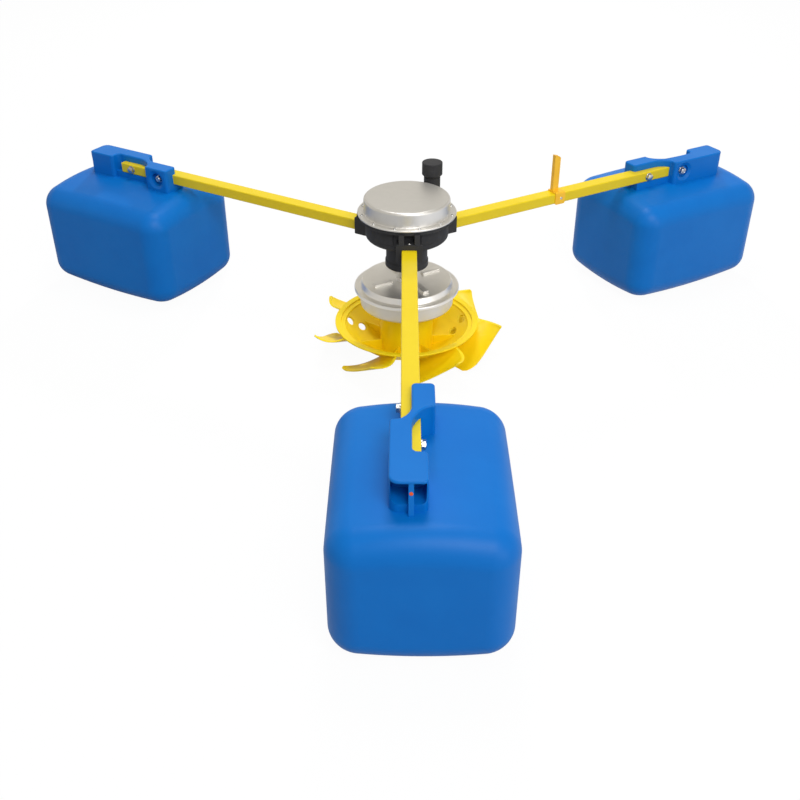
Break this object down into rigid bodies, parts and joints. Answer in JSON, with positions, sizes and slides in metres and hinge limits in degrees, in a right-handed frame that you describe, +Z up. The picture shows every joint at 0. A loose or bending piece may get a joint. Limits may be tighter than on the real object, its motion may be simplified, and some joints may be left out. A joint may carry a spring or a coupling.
{
  "type": "floating_pond_aerator",
  "caption": "Floating pond aerator: blue floats on yellow arms carry a black hub with a metal lid, a permanent magnet motor and a yellow bladed impeller.",
  "frame": {"origin": "On the impeller's spin axis, at the level of the floats' flat bottoms.", "axes": "+Z up along the spin axis; the front arm points along -Y, the right arm 30 degrees above +X, the left arm 150 degrees from +X."},
  "size_m": [2.2596, 1.998, 0.512],
  "materials": {
    "float_blue": "satin moulded",
    "hub_black": "matte moulded",
    "impeller_yellow": "satin moulded",
    "arm_yellow": "satin powder coat",
    "satin_metal": "satin",
    "zinc_steel": "zinc plated",
    "shaft_steel": "turned",
    "stator_steel": "varnished laminations",
    "magnet_grey": "sintered",
    "seal_rubber": "matte",
    "potting_black": "cast resin",
    "plug_orange": "moulded",
    "hook_orange": "powder coat"
  },
  "bodies": {
    "frame": {"arm_front": "arm_yellow", "arm_left": "arm_yellow", "arm_right": "arm_yellow", "cable_hook": "hook_orange", "clamp_bolts": "zinc_steel", "clamp_nuts": "zinc_steel", "clamp_washers": "zinc_steel", "controller": "potting_black", "cover": "satin_metal", "cover_gasket": "seal_rubber", "cover_screws": "zinc_steel", "float_front": "float_blue", "float_left": "float_blue", "float_right": "float_blue", "hook_rivet": "zinc_steel", "hub": "hub_black", "inlet_cap": "hub_black", "inlet_neck": "hub_black", "inlet_seal": "seal_rubber", "lock_screws": "zinc_steel", "shaft": "shaft_steel", "shaft_collar": "shaft_steel", "shaft_nut": "shaft_steel", "stator": "stator_steel", "vent_plugs": "plug_orange"},
    "rotor": {"bearing_lower": "shaft_steel", "bearing_upper": "shaft_steel", "impeller": "impeller_yellow", "impeller_bolts": "zinc_steel", "magnet_ring": "magnet_grey", "motor_can": "satin_metal", "motor_cover": "satin_metal"}
  },
  "joints": [
    {"name": "impeller_spin", "type": "hinge", "parent": "frame", "child": "rotor", "pos_m": [0, 0, 0.184], "axis": [0, 0, 1], "continuous": true}
  ]
}
